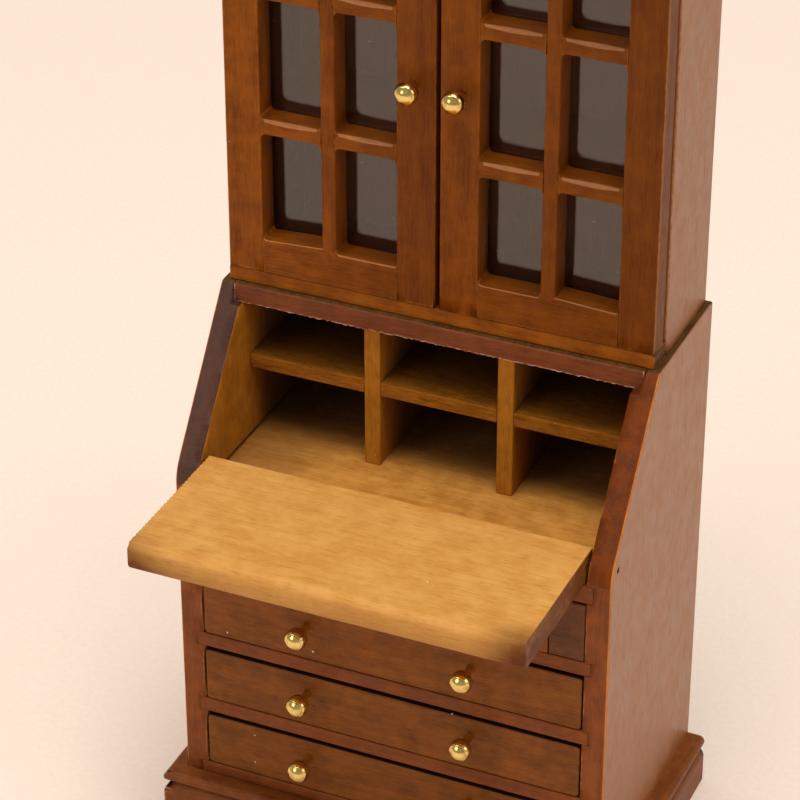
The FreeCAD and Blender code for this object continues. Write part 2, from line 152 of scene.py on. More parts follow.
print("picking helpers ready")

# %% [markdown]
# ## Starting a piece
# Most pieces of a cabinet are boards, and a board starts as a cube at the board's own size. A piece
# with a worked outline, such as the desk's side with its slope and its housings, starts as a copy
# of the frame's solid. That copy is loose triangles, so they are merged first and the flat faces
# made whole again.


# %% Cubes and copies
def block(name, low, high):
    """A cube with its corners at low and high, its place kept in its mesh."""
    if bpy.context.mode != "OBJECT":
        bpy.ops.object.mode_set(mode="OBJECT")
    bpy.ops.object.select_all(action="DESELECT")
    bpy.ops.mesh.primitive_cube_add(size=1, location=(low + high) / 2, scale=high - low)
    piece = bpy.context.object
    piece.name = name
    bpy.ops.object.transform_apply(location=True, rotation=True, scale=True)
    return piece


def copy_of(node, name):
    """A free copy of one of the frame's solids, as one clean skin."""
    piece = put(name, frame["nodes"][node].data.copy())
    edit(piece)
    bpy.ops.mesh.select_all(action="SELECT")
    bpy.ops.mesh.remove_doubles(threshold=0.001 * MM)
    bpy.ops.mesh.dissolve_limited(angle_limit=math.radians(1))
    only(piece)
    piece.data.materials.clear()
    return piece


def solid_boxes(node):
    """The lowest and highest corner of each separate solid in a node, from left to right and up."""
    piece = copy_of(node, "measure")
    edit(piece)
    bpy.ops.mesh.select_all(action="SELECT")
    bpy.ops.mesh.separate(type="LOOSE")
    bpy.ops.object.mode_set(mode="OBJECT")
    boxes = []
    for part in list(bpy.context.selected_objects):
        points = [vert.co.copy() for vert in part.data.vertices]
        low = Vector([min(p[i] for p in points) for i in range(3)])
        high = Vector([max(p[i] for p in points) for i in range(3)])
        boxes.append((low, high))
        bpy.data.objects.remove(part)
    return sorted(boxes, key=lambda box: (round(box[0].z, 5), round(box[0].x, 5)))


print("starting helpers ready, for", len(frame["nodes"]), "nodes")

# %% [markdown]
# ## Shaping a board
# Three things tell real wood from a plain box. Its edges are eased by sandpaper, which is a bevel.
# Its surfaces are slightly out of true, which is a displacement of a few hundredths of a
# millimetre over a grid of cuts. And its flat faces still shade flat, which weighted normals do.


# %% Easing, cutting and finishing
def ease(piece, width, test, steps=3, along=None):
    """Round the picked edges over."""
    pick_edges(piece, test, along)
    bpy.ops.mesh.bevel(offset=width, segments=steps, profile=0.5, affect="EDGES", clamp_overlap=True)
    only(piece)


def cut(piece, axis, places):
    """Cut right round the piece at each place along one axis."""
    normal = Vector((0, 0, 0))
    normal[axis] = 1
    edit(piece)
    for place in places:
        bpy.ops.mesh.select_all(action="SELECT")
        bpy.ops.mesh.bisect(plane_co=normal * place, plane_no=normal)
    only(piece)


def even_cuts(low, high, count):
    """The places that share the span from low to high into this many equal lengths."""
    return [low + (high - low) * i / count for i in range(1, count)]


def grid(piece, cell):
    """Cut the piece into cells of about this size, so that it has points to move."""
    points = [vert.co for vert in piece.data.vertices]
    for axis in range(3):
        low = min(p[axis] for p in points)
        high = max(p[axis] for p in points)
        count = round((high - low) / cell)
        cut(piece, axis, even_cuts(low, high, count))
        points = [vert.co for vert in piece.data.vertices]


def wobble(piece, amount, size):
    """Push the surface in and out a little, in soft clouds of this size."""
    clouds = bpy.data.textures.new(piece.name + "_clouds", "CLOUDS")
    clouds.noise_scale = size
    only(piece)
    push = piece.modifiers.new("Wobble", "DISPLACE")
    push.texture = clouds
    push.texture_coords = "LOCAL"
    push.strength = amount
    push.mid_level = 0.5
    bpy.ops.object.modifier_apply(modifier="Wobble")


def smooth(piece, angle=40):
    """Shade round edges smooth while flat faces stay flat."""
    only(piece)
    bpy.ops.object.shade_smooth_by_angle(angle=math.radians(angle))
    piece.modifiers.new("Even shading", "WEIGHTED_NORMAL").keep_sharp = True
    bpy.ops.object.modifier_apply(modifier="Even shading")


def place(piece, *nodes):
    """Let a finished piece stand for its nodes and ride on their body."""
    for vert in piece.data.vertices:
        for axis in range(3):
            vert.co[axis] = min(max(vert.co[axis], frame_box[0][axis]), frame_box[1][axis])
    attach(piece, body_of[nodes[0]])
    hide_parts(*nodes)
    return piece


def join(pieces, name):
    """Make several solids one piece."""
    only(pieces[0])
    for piece in pieces[1:]:
        piece.select_set(True)
    if len(pieces) > 1:
        bpy.ops.object.join()
    pieces[0].name = name
    return pieces[0]


# %% [markdown]
# ## Shared effects as node groups
# Every wood here needs the same four effects, so each is built once as a node group and used in
# each material with its own values: the figure of the grain, wear and a painted highlight along the
# edges, painted shade with gathered stain in corners, and specks of dust.


# %% A helper for groups
def new_group(name, inputs, outputs):
    """An empty node group with named sockets: {name: default} in, and names out."""
    group = bpy.data.node_groups.new(name, "ShaderNodeTree")
    for label, value in inputs.items():
        kind = "NodeSocketVector" if value is None else "NodeSocketFloat"
        socket = group.interface.new_socket(name=label, in_out="INPUT", socket_type=kind)
        if value is not None:
            socket.default_value = value
    for label in outputs:
        group.interface.new_socket(name=label, in_out="OUTPUT", socket_type="NodeSocketFloat")
    return group, group.nodes.new("NodeGroupInput"), group.nodes.new("NodeGroupOutput")


def feed(tree, value, socket):
    """Link another node's output into a socket, or set the socket to a plain value."""
    if isinstance(value, bpy.types.NodeSocket):
        tree.links.new(value, socket)
    else:
        socket.default_value = value


def math_node(tree, operation, first, second, clamp=False):
    """A Math node fed by sockets or plain numbers; gives its output socket."""
    node = tree.nodes.new("ShaderNodeMath")
    node.operation = operation
    node.use_clamp = clamp
    feed(tree, first, node.inputs[0])
    feed(tree, second, node.inputs[1])
    return node.outputs[0]


def times(tree, value, factor):
    """A socket's value, made stronger or weaker by a plain factor."""
    return math_node(tree, "MULTIPLY", value, factor)


def ramp(tree, value, low, high):
    """Stretch the span from low to high over 0 to 1, smoothly."""
    node = tree.nodes.new("ShaderNodeMapRange")
    node.interpolation_type = "SMOOTHSTEP"
    node.inputs["From Min"].default_value = low
    node.inputs["From Max"].default_value = high
    tree.links.new(value, node.inputs["Value"])
    return node.outputs["Result"]


def noise(tree, vector, scale, detail=2.0, rough=0.5):
    """A noise pattern with this many features to the metre."""
    node = tree.nodes.new("ShaderNodeTexNoise")
    node.inputs["Detail"].default_value = detail
    node.inputs["Roughness"].default_value = rough
    tree.links.new(vector, node.inputs["Vector"])
    feed(tree, scale, node.inputs["Scale"])
    return node.outputs["Fac"]


# %% [markdown]
# ### Wood figure
# Grain is noise pulled out along one direction. Fibres are short and fine, bands are broad and
# slow, pores are thin dark dashes, and a stain takes unevenly in soft blotches. The vector comes in
# with the grain along X.


# %% Figure group
def build_figure():
    inputs = {"Vector": None, "Stretch": 14.0, "Fibre Scale": 5200.0}
    group, given, result = new_group("Wood figure", inputs, ("Fibres", "Bands", "Pores", "Blotches"))
    stretch = math_node(group, "DIVIDE", 1.0, given.outputs["Stretch"])
    squeeze = group.nodes.new("ShaderNodeCombineXYZ")
    group.links.new(stretch, squeeze.inputs[0])
    squeeze.inputs[1].default_value = 1.0
    squeeze.inputs[2].default_value = 1.0
    pulled = group.nodes.new("ShaderNodeVectorMath")
    pulled.operation = "MULTIPLY"
    group.links.new(given.outputs["Vector"], pulled.inputs[0])
    group.links.new(squeeze.outputs[0], pulled.inputs[1])
    along = pulled.outputs[0]
    fibre_scale = given.outputs["Fibre Scale"]
    fibres = noise(group, along, fibre_scale, detail=3.0, rough=0.6)
    band_scale = math_node(group, "MULTIPLY", fibre_scale, 0.14)
    bands = noise(group, along, band_scale, detail=3.0, rough=0.55)
    pore_scale = math_node(group, "MULTIPLY", fibre_scale, 0.8)
    pores = ramp(group, noise(group, along, pore_scale, detail=1.0), 0.63, 0.72)
    blotches = noise(group, given.outputs["Vector"], 260.0, detail=3.0, rough=0.6)
    group.links.new(ramp(group, fibres, 0.3, 0.7), result.inputs["Fibres"])
    group.links.new(ramp(group, bands, 0.32, 0.68), result.inputs["Bands"])
    group.links.new(pores, result.inputs["Pores"])
    group.links.new(ramp(group, blotches, 0.3, 0.7), result.inputs["Blotches"])
    return group


figure = build_figure()
print("group", figure.name, "made")


# %% [markdown]
# ### Edge wear and highlight, corner shade and dust
# The Bevel node gives the normal that a surface would have if its edges were rounder. Where that
# differs from the true normal there is an edge, and noise breaks the wear up; the pale tone there is
# wear and also a painted highlight. Ambient occlusion finds the inner corners, which take painted
# shade along with the stain that gathers there; it looks at its own piece only, so a drawer doesn't
# carry the cabinet's shadow out with it. Dust is a few cells of a Voronoi pattern in a hundred.


# %% Wear, corner and dust groups
# The pale edge tone is wear, and also a painted highlight along the edges.
def build_wear_and_highlight():
    inputs = {"Vector": None, "Radius": 0.5 * MM, "Amount": 1.0}
    group, given, result = new_group("Edge wear and highlight", inputs, ("Worn and lit",))
    rounded = group.nodes.new("ShaderNodeBevel")
    rounded.samples = 6
    group.links.new(given.outputs["Radius"], rounded.inputs["Radius"])
    true = group.nodes.new("ShaderNodeNewGeometry")
    compare = group.nodes.new("ShaderNodeVectorMath")
    compare.operation = "DOT_PRODUCT"
    group.links.new(rounded.outputs[0], compare.inputs[0])
    group.links.new(true.outputs["Normal"], compare.inputs[1])
    turned = math_node(group, "SUBTRACT", 1.0, compare.outputs["Value"])
    edge = ramp(group, turned, 0.015, 0.16)
    patches = noise(group, given.outputs["Vector"], 900.0, detail=4.0, rough=0.65)
    worn_and_lit = math_node(group, "MULTIPLY", edge, ramp(group, patches, 0.36, 0.62))
    worn_and_lit = math_node(group, "MULTIPLY", worn_and_lit, given.outputs["Amount"], clamp=True)
    group.links.new(worn_and_lit, result.inputs["Worn and lit"])
    return group


# Painted shade: the corners that ambient occlusion finds, where stain also gathers.
def build_corner_shade():
    group, given, result = new_group("Corner shade and stain", {"Distance": 1.2 * MM}, ("Corner",))
    shade = group.nodes.new("ShaderNodeAmbientOcclusion")
    shade.only_local = True
    shade.samples = 6
    group.links.new(given.outputs["Distance"], shade.inputs["Distance"])
    closed = math_node(group, "SUBTRACT", 1.0, shade.outputs["AO"])
    group.links.new(ramp(group, closed, 0.12, 0.6), result.inputs["Corner"])
    return group


def build_dust():
    inputs = {"Vector": None, "Scale": 420.0, "Amount": 0.05}
    group, given, result = new_group("Dust", inputs, ("Specks",))
    cells = group.nodes.new("ShaderNodeTexVoronoi")
    group.links.new(given.outputs["Vector"], cells.inputs["Vector"])
    group.links.new(given.outputs["Scale"], cells.inputs["Scale"])
    split = group.nodes.new("ShaderNodeSeparateColor")
    group.links.new(cells.outputs["Color"], split.inputs[0])
    chosen = math_node(group, "LESS_THAN", split.outputs[0], given.outputs["Amount"])
    size = math_node(group, "MULTIPLY", split.outputs[1], 0.09)
    small = math_node(group, "LESS_THAN", cells.outputs["Distance"], size)
    group.links.new(math_node(group, "MULTIPLY", chosen, small), result.inputs["Specks"])
    return group


wear_and_highlight, corner, dust = build_wear_and_highlight(), build_corner_shade(), build_dust()
print("groups", wear_and_highlight.name, corner.name, dust.name, "made")

# %% [markdown]
# ## The wood finishes
# One function makes every stained wood. Its colours are a middle tone, the deep tone of the bands
# and corners (darker there as painted shade), the pale tone of the fibres, and the tone of the
# edges, where the stain has worn off and a painted highlight lies. The grain runs along X, Y or Z: a
# Mapping node turns the pattern, because a rail and a stile cut from the same plank differ only in
# that. A vertex attribute darkens a piece where its maker's brush left more colour, and carries
# painted shade as well: deep in the pigeonholes, at the left of the writing floor and across the doors.


# %% Colour helpers
def tone(red, green, blue):
    """A colour as the eye names it, 0 to 255, turned into the linear values that light uses."""
    linear = []
    for value in (red, green, blue):
        value = value / 255
        linear.append(value / 12.92 if value <= 0.04045 else ((value + 0.055) / 1.055) ** 2.4)
    return (*linear, 1.0)


def mix(tree, amount, first, second):
    """Mix two colours, each a socket or a fixed colour."""
    node = tree.nodes.new("ShaderNodeMix")
    node.data_type = "RGBA"
    feed(tree, amount, node.inputs["Factor"])
    feed(tree, first, node.inputs[6])
    feed(tree, second, node.inputs[7])
    return node.outputs[2]


def use(tree, group, vector=None, **values):
    """Place a node group in a material, with its own values."""
    node = tree.nodes.new("ShaderNodeGroup")
    node.node_tree = group
    if vector is not None:
        tree.links.new(vector, node.inputs["Vector"])
    for label, value in values.items():
        node.inputs[label.replace("_", " ")].default_value = value
    return node


def new_material(name):
    """A material with its shader, and the place on the piece that its patterns read."""
    material = bpy.data.materials.new(name)
    material.use_nodes = True
    tree = material.node_tree
    tree.nodes.clear()
    shader = tree.nodes.new("ShaderNodeBsdfPrincipled")
    output = tree.nodes.new("ShaderNodeOutputMaterial")
    tree.links.new(shader.outputs[0], output.inputs["Surface"])
    return material, tree, shader, tree.nodes.new("ShaderNodeTexCoord").outputs["Object"]


def bump(tree, shader, height, distance, strength=1.0):
    """Raise and sink the surface's shading by a height pattern."""
    node = tree.nodes.new("ShaderNodeBump")
    node.inputs["Distance"].default_value = distance
    node.inputs["Strength"].default_value = strength
    tree.links.new(height, node.inputs["Height"])
    tree.links.new(node.outputs[0], shader.inputs["Normal"])


# %% Stained wood
TURN = {"X": (0, 0, 0), "Y": (0, 0, math.radians(-90)), "Z": (0, math.radians(90), 0)}


def wood(name, grain, middle, deep, pale, worn_and_lit, rough=0.42, relief=0.02, wear_and_highlight_amount=0.8,
         figure_amount=0.3, pore_amount=0.22, shine=0.16, stain_and_shade_tone=(58, 34, 26)):
    """A stained and lacquered wood with its grain along one axis."""
    material, tree, shader, place_in = new_material(name)
    turn = tree.nodes.new("ShaderNodeMapping")
    turn.inputs["Rotation"].default_value = TURN[grain]
    tree.links.new(place_in, turn.inputs["Vector"])
    fibres, bands, pores, blotches = use(tree, figure, turn.outputs[0]).outputs
    slow = math_node(tree, "ADD", times(tree, bands, 0.4), times(tree, blotches, 0.6))
    colour = mix(tree, slow, tone(*deep), tone(*middle))
    colour = mix(tree, times(tree, fibres, figure_amount), colour, tone(*pale))
    colour = mix(tree, times(tree, pores, pore_amount), colour, tone(*[v * 0.6 for v in deep]))
    # Painted shade in inner corners, with the stain that gathers there: the deep tone darkened.
    shaded_corner = use(tree, corner).outputs["Corner"]
    colour = mix(tree, times(tree, shaded_corner, 0.65), colour, tone(*[v * 0.55 for v in deep]))
    # Edges take the worn tone: wear, with a painted highlight.
    worn_and_lit_edge = use(tree, wear_and_highlight, place_in, Amount=wear_and_highlight_amount).outputs["Worn and lit"]
    colour = mix(tree, worn_and_lit_edge, colour, tone(*worn_and_lit))
    # The attribute darkens with real stain on some pieces and painted shade on others.
    stain_and_shade_input = tree.nodes.new("ShaderNodeAttribute")
    stain_and_shade_input.attribute_name = "Stain and shade"
    takes = ramp(tree, blotches, -1.6, 0.6)
    uneven = math_node(tree, "MULTIPLY", stain_and_shade_input.outputs["Fac"], takes, clamp=True)
    colour = mix(tree, uneven, colour, tone(*stain_and_shade_tone))
    specks = use(tree, dust, place_in).outputs["Specks"]
    colour = mix(tree, specks, colour, tone(235, 225, 215))
    tree.links.new(colour, shader.inputs["Base Color"])
    dry = math_node(tree, "ADD", times(tree, blotches, 0.14), times(tree, pores, 0.2))
    dusty = math_node(tree, "ADD", dry, times(tree, specks, 0.4))
    uneven_gloss = math_node(tree, "ADD", dusty, rough - 0.07, clamp=True)
    tree.links.new(uneven_gloss, shader.inputs["Roughness"])
    raised = math_node(tree, "SUBTRACT", fibres, times(tree, pores, 0.8))
    raised = math_node(tree, "ADD", raised, times(tree, blotches, 1.2))
    bump(tree, shader, raised, relief * MM)
    shader.inputs["Specular IOR Level"].default_value = shine
    return material


# %% [markdown]
# ### The recipes
# The doors are a warm orange brown. The desk's sides are paler and pinker, its sloped edges carry
# the darkest stain, and its inside was only wiped with golden stain. The fall board is honey
# coloured and nearly bare.

# %% Recipes
# Each row is a finish: its grain, its middle, deep, pale and worn tones, and what else it needs.
# The worn tone is wear and also a painted edge highlight.
WOODS = {
    "door_upright": ("Z", (144, 76, 10), (100, 44, 2), (160, 94, 26), (224, 138, 44),
                     dict(shine=0.1, stain_and_shade_tone=(70, 30, 2))),
    "door_level": ("X", (148, 78, 10), (102, 46, 2), (164, 98, 28), (216, 136, 50),
                   dict(wear_and_highlight_amount=0.3, shine=0.1, stain_and_shade_tone=(70, 30, 2))),
    "sill": ("X", (153, 84, 14), (106, 50, 4), (168, 101, 30), (216, 136, 50),
             dict(wear_and_highlight_amount=0.4, shine=0.1)),
    # A pale painted highlight for the doors' rounded upper front edges.
    "door_edge_highlight": ("X", (188, 118, 58), (150, 84, 32), (210, 146, 88), (226, 166, 106), dict(shine=0.4)),
    "case_upright": ("Z", (150, 92, 46), (134, 78, 34), (162, 108, 62), (204, 142, 84),
                     dict(shine=0.5, rough=0.36)),
    # Painted shade: the bookcase's inside is dark as the shade behind the glass.
    "case_inside_shade": ("Z", (112, 50, 22), (98, 42, 18), (122, 58, 28), (122, 58, 28), dict(rough=0.6)),
    # The desk side's worn tone is partly a painted orange highlight on its front edges.
    "desk_upright": ("Z", (155, 98, 54), (138, 80, 38), (168, 116, 72), (222, 142, 58),
                     dict(shine=0.5, rough=0.36)),
    "slope_dark": ("Z", (82, 47, 34), (60, 34, 28), (104, 64, 46), (150, 88, 48), dict(shine=0.3)),
    "slope_red": ("Z", (122, 58, 10), (84, 36, 10), (140, 74, 22), (216, 128, 46), dict(shine=0.14)),
    "front_post": ("Z", (140, 74, 30), (104, 50, 18), (158, 92, 42), (206, 132, 64), dict()),
    "front_rail": ("X", (134, 70, 28), (98, 46, 16), (152, 88, 40), (190, 118, 58), dict()),
    "drawer_face": ("X", (136, 78, 28), (96, 52, 16), (154, 95, 42), (192, 124, 62), dict(shine=0.12)),
    # A painted orange highlight for the desk sides' rounded outer front edges.
    "edge_orange_highlight": ("Z", (206, 122, 40), (160, 84, 22), (222, 146, 62), (226, 150, 70),
                    dict(shine=0.4)),
    # Painted shadow: the near-black of the gaps round the drawer fronts.
    "gap_painted_shadow": ("X", (44, 24, 12), (30, 16, 8), (60, 34, 18), (90, 54, 28),
                 dict(wear_and_highlight_amount=0.2, rough=0.7)),
    "loper_face": ("X", (108, 64, 36), (76, 42, 24), (128, 82, 50), (160, 104, 60), dict()),
    # The strip's pale worn tone along its upper edge is wear and a painted highlight.
    "top_strip": ("X", (122, 62, 30), (90, 42, 22), (146, 86, 52), (232, 176, 150),
                  dict(wear_and_highlight_amount=1.0)),
    "desk_ledge": ("Y", (92, 58, 22), (50, 30, 10), (130, 88, 42), (150, 96, 46),
                   dict(figure_amount=0.45, pore_amount=0.6, relief=0.06, rough=0.6)),
    "moulding": ("X", (134, 72, 28), (98, 48, 16), (154, 92, 42), (206, 150, 108), dict()),
    "inside_upright": ("Z", (184, 120, 30), (148, 88, 14), (202, 142, 54), (206, 146, 66),
                       dict(rough=0.6, relief=0.03)),
    "inside_level": ("X", (218, 154, 68), (178, 112, 34), (230, 174, 96), (212, 156, 80),
                     dict(rough=0.62, relief=0.04)),
    "shelf_level": ("X", (164, 102, 26), (122, 70, 10), (184, 122, 44), (200, 138, 58),
                    dict(rough=0.75, relief=0.08, pore_amount=0.5, shine=0.08, stain_and_shade_tone=(44, 24, 4))),
    "honey": ("X", (217, 160, 82), (196, 132, 54), (230, 184, 112), (226, 180, 108),
              dict(rough=0.5, figure_amount=0.3, wear_and_highlight_amount=0.3, stain_and_shade_tone=(100, 48, 4))),
    "bare": ("X", (190, 146, 96), (168, 120, 72), (208, 172, 124), (214, 180, 136),
             dict(rough=0.65, relief=0.03)),
    "back_board": ("Z", (104, 58, 28), (80, 42, 18), (124, 76, 42), (150, 100, 60), dict(rough=0.6)),
}
WOODS["moulding_side"] = ("Y", *WOODS["moulding"][1:])
woods = {name: wood(name, *tones, **rest) for name, (*tones, rest) in WOODS.items()}
print(len(woods), "wood finishes made")


# %% [markdown]
# ### Brass, wire and glass
# The knobs are polished brass: a full metal with a warm colour, faint tarnish and hair scratches
# from turning. The pins are dull steel wire. The panes are clear sheet, which shows a dim
# reflection of the table over the dark inside, with a little dust on it.


# %% Metal and glass
def metal(name, colour, dark, rough):
    """A polished metal, dulled in soft patches, with painted shade in its corners."""
    material, tree, shader, place_in = new_material(name)
    tarnish = ramp(tree, noise(tree, place_in, 700.0, detail=4.0, rough=0.6), 0.42, 0.75)
    shade = mix(tree, times(tree, tarnish, 0.5), tone(*colour), tone(*dark))
    # Painted shade in the metal's inner corners.
    shaded_corner = use(tree, corner, Distance=0.8 * MM).outputs["Corner"]
    shade = mix(tree, times(tree, shaded_corner, 0.8), shade, tone(*dark))
    tree.links.new(shade, shader.inputs["Base Color"])
    shader.inputs["Metallic"].default_value = 1.0
    dulled = math_node(tree, "ADD", times(tree, tarnish, 0.14), rough)
    tree.links.new(dulled, shader.inputs["Roughness"])
    bump(tree, shader, noise(tree, place_in, 2600.0, detail=2.0), 0.006 * MM)
    return material


def clear_sheet(name):
    """A clear pane with haze and dust on it."""
    material, tree, shader, place_in = new_material(name)
    specks = use(tree, dust, place_in, Scale=700.0, Amount=0.10).outputs["Specks"]
    haze = ramp(tree, noise(tree, place_in, 500.0, detail=4.0), 0.45, 0.8)
    dusted = mix(tree, specks, tone(244, 246, 245), tone(250, 250, 248))
    tree.links.new(dusted, shader.inputs["Base Color"])
    shader.inputs["Transmission Weight"].default_value = 1.0
    shader.inputs["Metallic"].default_value = 0.0
    shader.inputs["IOR"].default_value = 1.55
    shader.inputs["Specular Tint"].default_value = tone(255, 240, 232)
    rough = math_node(tree, "ADD", times(tree, haze, 0.03), times(tree, specks, 0.6))
    tree.links.new(rough, shader.inputs["Roughness"])
    bump(tree, shader, noise(tree, place_in, 90.0, detail=1.0), 0.01 * MM)
    return material


brass = metal("knob_brass", (232, 204, 124), (132, 92, 30), 0.14)
wire = metal("pin_wire", (150, 146, 140), (60, 48, 40), 0.35)
pane = clear_sheet("pane_sheet")
print("brass, wire and pane made")


# %% [markdown]
# ## Painting a piece
# A board can show more than one finish: the desk's side is pale outside, dark on its slope and
# golden inside. Each finish takes the faces that its test picks, and the first takes what is left.


# %% Painting helpers
def paint(piece, finish, test=None):
    """Give the faces that pass the test this finish, or every face where there is no test."""
    piece.data.materials.append(finish)
    index = len(piece.data.materials) - 1
    for face in piece.data.polygons:
        if test is None or test(face.center, face.normal):
            face.material_index = index


def brush_stain_and_shade(piece, amount):
    """Store how much extra stain and painted shade each point carries, as the attribute that the woods
    read.
    """
    layer = piece.data.attributes.new("Stain and shade", "FLOAT", "POINT")
    for index, vert in enumerate(piece.data.vertices):
        layer.data[index].value = amount(vert.co)


print("painting helpers ready")

# %% [markdown]
# ## The plain boards
# Shelves, floors, dividers and backs are all the same job, so one loop makes them: a cube at the
# board's size, every edge eased, a grid of cuts and a slight wobble. A node with several boards,
# such as the pigeonhole shelves, becomes one piece of several solids.


# %% Plain boards
def board(node, low, high, width=0.3 * MM, cell=3 * MM):
    """One eased, slightly uneven board."""
    piece = block(node + "_board", low, high)
    ease(piece, width, lambda p: True)
    grid(piece, cell)
    wobble(piece, 0.05 * MM, 5 * MM)
    return piece


def boards(node, finish, **shape):
    """Every solid of a node as a board, in one piece with one finish."""
    piece = join([board(node, low, high, **shape) for low, high in solid_boxes(node)], node + "_board")
    smooth(piece)
    paint(piece, finish)
    return place(piece, node)


PLAIN = {
    "desk_back": "back_board", "desk_bottom": "front_rail", "writing_floor": "inside_level",
    "drawer_board_lower": "front_rail", "drawer_board_middle": "front_rail",
    "drawer_board_upper": "front_rail",
    "front_rail": "front_rail", "loper_guide_left": "front_post", "loper_guide_right": "front_post",
    "pigeonhole_divider_left": "inside_upright", "pigeonhole_divider_right": "inside_upright",
    "pigeonhole_shelves": "shelf_level",
    # The bookcase's inside boards take painted shade.
    "bookcase_bottom": "case_inside_shade", "bookcase_top": "back_board", "bookcase_back": "case_inside_shade",
    "bookcase_shelves": "case_inside_shade", "bookcase_head": "door_level",
}
pigeon_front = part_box("pigeonhole_shelves")[0].y
shelf_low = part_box("pigeonhole_shelves")[0].z


def inside_painted_shade(p):
    """Painted shade deep in the pigeonholes, and some at the left of the writing floor."""
    deep_in = (p.y - pigeon_front - 1 * MM) / (11 * MM)
    at_left = (-18 * MM - p.x) / (22 * MM)
    return max(0.0, min(0.8, deep_in), min(0.36, at_left) * (p.z < shelf_low))


for node, finish in PLAIN.items():
    made = boards(node, woods[finish])
    if node == "writing_floor" or node.startswith("pigeonhole"):
        brush_stain_and_shade(made, inside_painted_shade)
    if node == "bookcase_back":
        paint(made, woods["back_board"], lambda c, n: n.y > 0.5)
    print(node, len(made.data.polygons), "faces")

# %% [markdown]
# ## The desk's sides
# Each side is one board with an upright front edge, a rounded knee and a slope up to the top. Its
# outline and the housings for the boards are the frame's, so it starts as a copy. The outer face is
# pale, the slopes are dark, and the inside over the writing floor is golden.


# %% Desk sides
def near_board(node, cell, amount, size):
    """A copy of the frame's own board with a grid and a wobble."""
    piece = copy_of(node, node + "_board")
    grid(piece, cell)
    wobble(piece, amount, size)
    smooth(piece)
    return piece


knee_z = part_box("front_rail")[1].z
desk_low, desk_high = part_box("desk_side_right")
inner_face = desk_low.x
housing_inside = inner_face + 0.2 * MM
housing_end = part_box("desk_top")[1].x + 0.2 * MM
FORWARDS, UPWARDS, INWARDS = -0.3, 0.85, -0.6


def side_stain_and_shade(p):
    """Darker on the inner face by the top strip, and painted shade deep in the pigeonholes."""
    if desk_high.x - abs(p.x) < 3 * MM or p.z < knee_z:
        return 0.0
    high_up = (p.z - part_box("desk_top")[0].z + 0.3 * MM) / (0.8 * MM)
    deep_in = (p.y - pigeon_front) / (9 * MM)
    return max(0.0, min(1.0, high_up), min(0.75, deep_in))


for side, sign, slope in (("left", -1, "slope_dark"), ("right", 1, "slope_red")):
    node = "desk_side_" + side
    panel = near_board(node, 2.5 * MM, 0.07 * MM, 6 * MM)
    paint(panel, woods["desk_upright"])
    paint(panel, woods["inside_upright"], lambda c, n: n.x * sign < INWARDS and c.z > knee_z
          and near(abs(c.x), inner_face, 0.3 * MM))
    paint(panel, woods["front_post"], lambda c, n: n.y < -0.5 and c.z < knee_z)
    paint(panel, woods[slope], lambda c, n: n.y < FORWARDS and c.z >= knee_z)
    paint(panel, woods[slope], lambda c, n: c.z > desk_high.z - 6 * MM
          and housing_inside < abs(c.x) < housing_end and (n.z > UPWARDS or n.x * sign < INWARDS))
    paint(panel, woods["desk_ledge"], lambda c, n: n.z > UPWARDS and c.z > desk_high.z - 0.3 * MM)
    # Painted orange highlight on the rounded outer front edge.
    paint(panel, woods["edge_orange_highlight"], lambda c, n: n.x * sign > 0.25 and n.y < -0.25)
    brush_stain_and_shade(panel, side_stain_and_shade)
    place(panel, node)
    print(node, len(panel.data.polygons), "faces")

# %% [markdown]
# ## The desk's top
# The top board is let into the sides, so only its front edge and a narrow ledge show. The front
# edge is a red strip whose lower corner was left rough from the saw: close cuts, and the lower
# points moved up and down at random. Its upper corner is pale, worn by a sander and with a painted
# highlight on it.

# %% Desk top
SAW_STEP = 0.45 * MM
low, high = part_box("desk_top")
top_board = block("desk_top_board", low, high)
ease(top_board, 0.35 * MM, lambda p: near(p.y, low.y) and near(p.z, high.z))
cut(top_board, 0, [low.x + SAW_STEP * i for i in range(1, int((high.x - low.x) / SAW_STEP))])
cut(top_board, 1, [low.y + 0.6 * MM, low.y + 6 * MM, low.y + 14 * MM])
cut(top_board, 2, [low.z + 0.5 * MM, low.z + 1.8 * MM])
random.seed(4)
only(top_board)
for vert in top_board.data.vertices:
    if near(vert.co.z, low.z) and near(vert.co.y, low.y):
        vert.co.z += random.uniform(-0.18, 0.05) * MM
        vert.co.y += random.uniform(-0.05, 0.06) * MM
wobble(top_board, 0.05 * MM, 4 * MM)
smooth(top_board)
paint(top_board, woods["desk_ledge"])
paint(top_board, woods["top_strip"], lambda c, n: n.y < -0.4)
place(top_board, "desk_top")
print("ragged edge has", int((high.x - low.x) / SAW_STEP), "teeth")

# %% [markdown]
# ## Base moulding, plinth and cornice
# A moulding is a strip with a rounded nose, mitred at the corners. The frame has its section and its
# mitres, so each starts as a copy and only gets the wobble of a hand-sanded strip. The grain follows
# each strip's own length: along X in front, and along Y down the sides.

# %% Mouldings
STRIPS = ("base_moulding", "plinth_front", "plinth_left", "plinth_right", "plinth_back",
          "cornice_mouldings", "cornice_cap")
side_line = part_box("desk_side_right")[1].x
for node in STRIPS:
    strip = near_board(node, 2.5 * MM, 0.06 * MM, 4 * MM)
    paint(strip, woods["moulding"])
    if node != "cornice_cap":
        paint(strip, woods["moulding_side"],
              lambda c, n: abs(n.x) > 0.6 or abs(c.x) > side_line + 0.5 * MM and c.y > 0)
    place(strip, node)
    print(node, len(strip.data.polygons), "faces")

# %% [markdown]
# ## The fall board
# The fall is one thick board. Its front edge is rounded over like a nose, and its back lower edge
# is eased so that it turns past the rail. The left end still shows the saw: every other point of
# its corner is pushed in, which leaves a row of small teeth. The stain is darker round the nose
# and on the ends, where end grain drinks it.

